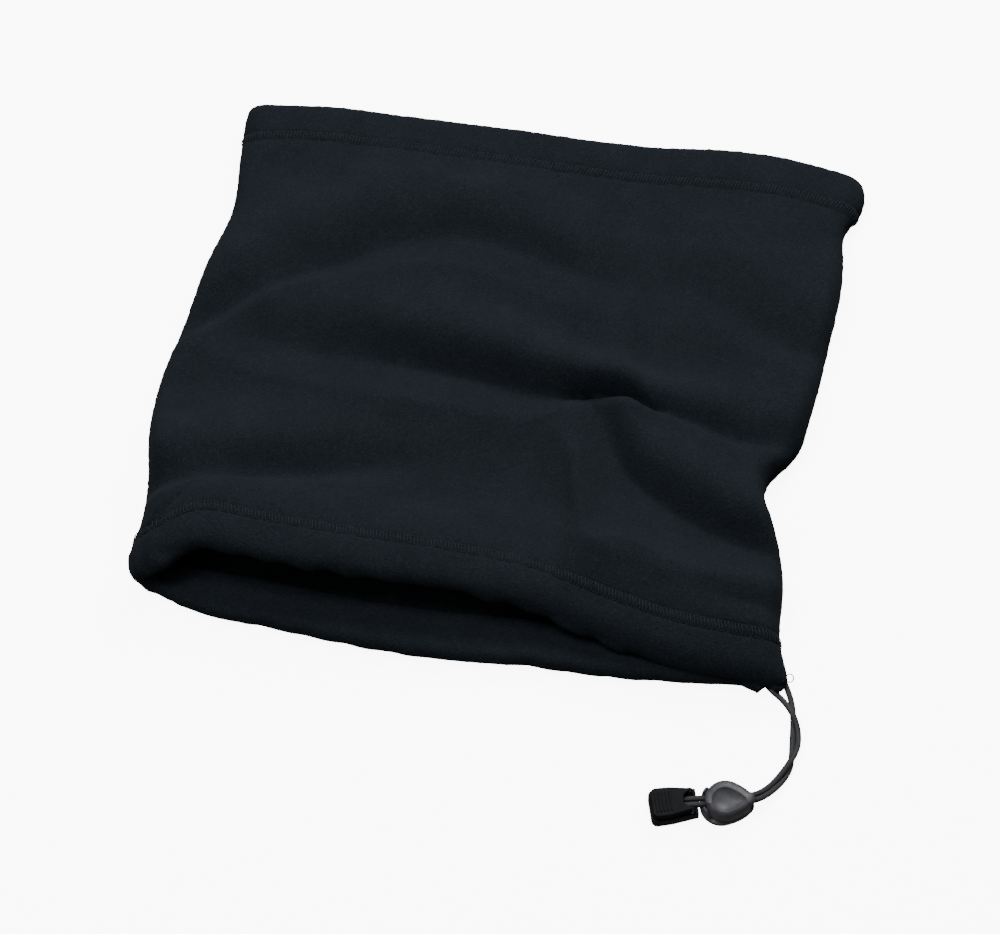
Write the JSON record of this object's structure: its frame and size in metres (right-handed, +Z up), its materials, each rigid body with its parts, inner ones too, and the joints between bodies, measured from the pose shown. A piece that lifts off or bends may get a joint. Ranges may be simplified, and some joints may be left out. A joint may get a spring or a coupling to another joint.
{
  "type": "neck gaiter",
  "caption": "Tubular fleece neck gaiter lying flat, with a plain top hem, an elastic drawcord in the lower hem, a squeeze cord lock and a hinged cord end clip.",
  "frame": {"origin": "centre of the flattened gaiter's footprint, on the surface that it lies on, without the free cord ends and what is on them", "axes": "+X along the flattened width, +Y from the drawcord mouth to the plain top hem, +Z up"},
  "size_m": [0.2789, 0.3138, 0.034],
  "materials": {
    "fleece": "brushed microfleece, near black with a blue cast",
    "thread": "spun polyester thread, black",
    "elastic_cord": "braided cover over rubber, dark grey",
    "moulded_plastic": "satin acetal, dark grey",
    "steel": "drawn wire, bright"
  },
  "bodies": {
    "gaiter": {"fleece_body": "fleece", "top_hem_facing": "fleece", "drawcord_hem_facing": "fleece", "top_hem_stitching": "thread", "drawcord_hem_stitching": "thread", "side_seam_stitching": "thread", "cord_exit_bartacks": "thread", "drawcord_in_channel": "elastic_cord", "drawcord_strand_a": "elastic_cord", "drawcord_strand_b": "elastic_cord", "end_clip_base": "moulded_plastic", "end_clip_hinge_pins": "steel", "cord_end_knot": "elastic_cord"},
    "cord_lock": {"cord_lock_housing": "moulded_plastic", "cord_lock_spring": "steel"},
    "lock_button": {"cord_lock_button": "moulded_plastic"},
    "clip_lid": {"end_clip_lid": "moulded_plastic"}
  },
  "joints": [
    {"name": "lock_slide", "type": "slide", "parent": "gaiter", "child": "cord_lock", "axis": [0.9871, 0.1599, 0], "range_m": [0, 0.004]},
    {"name": "lock_press", "type": "slide", "parent": "cord_lock", "child": "lock_button", "axis": [0, 0, -1], "range_m": [0, 0.0014], "stiffness_N_per_m": 1200, "springref_m": -0.002, "deforming": ["cord_lock_spring"]},
    {"name": "clip_hinge", "type": "hinge", "parent": "gaiter", "child": "clip_lid", "pos_m": [0.10177, -0.17592, 0.0056], "axis": [-0.2924, 0.9563, 0], "range_deg": [0, 95]}
  ]
}
